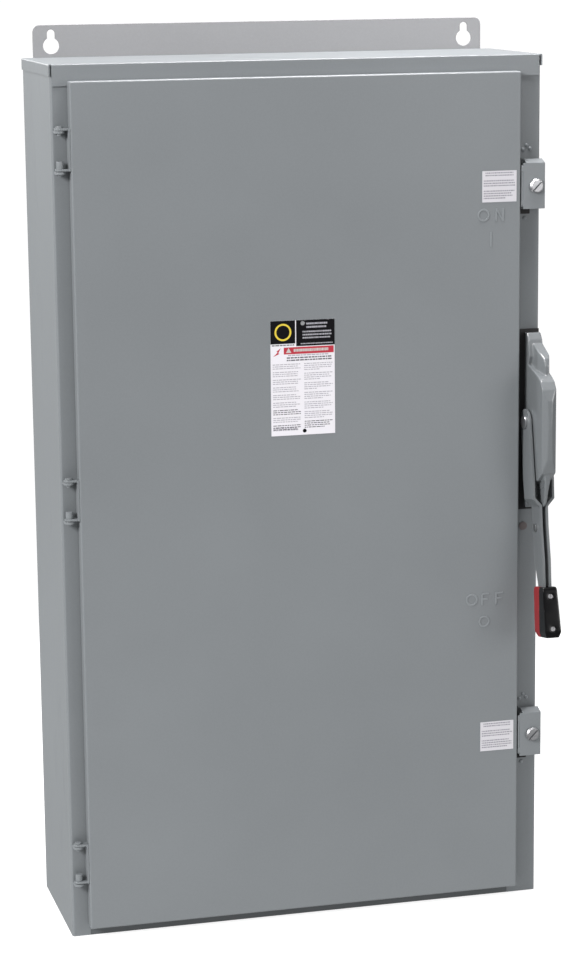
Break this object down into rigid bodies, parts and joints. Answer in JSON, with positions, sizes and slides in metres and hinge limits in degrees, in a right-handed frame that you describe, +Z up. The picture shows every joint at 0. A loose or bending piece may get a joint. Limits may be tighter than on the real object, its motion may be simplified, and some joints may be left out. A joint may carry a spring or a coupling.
{
  "type": "enclosed safety switch",
  "caption": "Wall-mounted sheet-metal disconnect switch box with a hinged latched door and a side-operated flange handle that throws knife blades inside.",
  "frame": {"origin": "middle of the back panel, on its wall face", "axes": "+X to the right seen from the front, +Y back into the wall, +Z up"},
  "size_m": [0.7115, 0.327, 1.286],
  "materials": {
    "enamel": "gloss",
    "enamel_light": "gloss",
    "zinc": "bright zinc plate",
    "galvanised": "satin",
    "black_rubber": "matte",
    "black_plastic": "satin",
    "red_plastic": "satin",
    "base_plastic": "matte",
    "crossbar_plastic": "matte",
    "fibre": "matte",
    "copper": "plain copper",
    "aluminium": "satin",
    "clear": "clear polycarbonate",
    "label": "gloss laminate",
    "fuse_body": "satin",
    "nylon": "matte"
  },
  "bodies": {
    "enclosure": {"back_panel": "enamel_light", "left_side": "enamel", "right_side": "enamel", "hood": "enamel_light", "bottom_wall": "enamel", "mounting_pan": "galvanised", "pan_spacers": "galvanised", "hinge_tabs": "enamel", "latch_catches": "enamel", "operator_gasket": "black_rubber", "operator_cover": "enamel", "flange_plug": "enamel", "drive_guide": "galvanised", "crank_bracket": "galvanised", "line_base": "base_plastic", "line_terminals": "copper", "line_lugs": "aluminium", "lug_screws": "zinc", "arc_chutes": "fibre", "line_shield": "clear", "shield_posts": "nylon", "hinge_base": "base_plastic", "hinge_terminals": "copper", "lower_base": "base_plastic", "lower_terminals": "copper", "load_lugs": "aluminium", "fuses": "fuse_body", "ground_bar": "aluminium"},
    "door": {"door": "enamel", "door_legends": "enamel", "door_stiffener": "enamel", "hinge_strap_top": "enamel", "hinge_strap_mid": "enamel", "hinge_strap_low": "enamel", "hinge_pins": "enamel", "label_main": "label", "latch_labels": "label", "label_rivet": "zinc"},
    "hasp_top": {"latch_hasp_top": "enamel"},
    "hasp_low": {"latch_hasp_low": "enamel"},
    "screw_top": {"latch_screw_top": "zinc"},
    "screw_low": {"latch_screw_low": "zinc"},
    "handle": {"yoke_left": "enamel", "yoke_right": "enamel", "yoke_pivots": "zinc", "cross_pin": "zinc", "grip_front": "black_plastic", "grip_rear": "red_plastic", "grip_screws": "zinc", "drive_arm": "galvanised"},
    "drive": {"drive_bar": "galvanised"},
    "blades": {"blade_crank": "galvanised", "crossbar": "crossbar_plastic", "switch_blades": "copper", "blade_pivots": "zinc"}
  },
  "joints": [
    {"name": "door_hinge", "type": "hinge", "parent": "enclosure", "child": "door", "pos_m": [-0.3415, -0.232, 0], "axis": [0, 0, -1], "range_deg": [0, 125]},
    {"name": "handle_throw", "type": "hinge", "parent": "enclosure", "child": "handle", "pos_m": [0.34, -0.245, 0.097], "axis": [-1, 0, 0], "range_deg": [0, 152]},
    {"name": "drive_slide", "type": "slide", "parent": "enclosure", "child": "drive", "axis": [0, 0, 1], "range_m": [0, 0.0668]},
    {"name": "blade_swing", "type": "hinge", "parent": "enclosure", "child": "blades", "pos_m": [0, -0.076, 0.097], "axis": [-1, 0, 0], "range_deg": [0, 65.2]},
    {"name": "hasp_top_hinge", "type": "hinge", "parent": "door", "child": "hasp_top", "pos_m": [0.3185, -0.24, 0.436], "axis": [0, 0, -1], "range_deg": [0, 95]},
    {"name": "hasp_low_hinge", "type": "hinge", "parent": "door", "child": "hasp_low", "pos_m": [0.3185, -0.24, -0.371], "axis": [0, 0, -1], "range_deg": [0, 95]},
    {"name": "screw_top_turn", "type": "hinge", "parent": "hasp_top", "child": "screw_top", "pos_m": [0.3385, -0.242, 0.436], "axis": [0, -1, 0], "range_deg": [0, 1080]},
    {"name": "screw_low_turn", "type": "hinge", "parent": "hasp_low", "child": "screw_low", "pos_m": [0.3385, -0.242, -0.371], "axis": [0, -1, 0], "range_deg": [0, 1080]}
  ],
  "couplings": [
    {"joint": "drive_slide", "follows": "handle_throw", "m_per_rad": 0.02481},
    {"joint": "blade_swing", "follows": "handle_throw", "ratio": 0.42763}
  ]
}
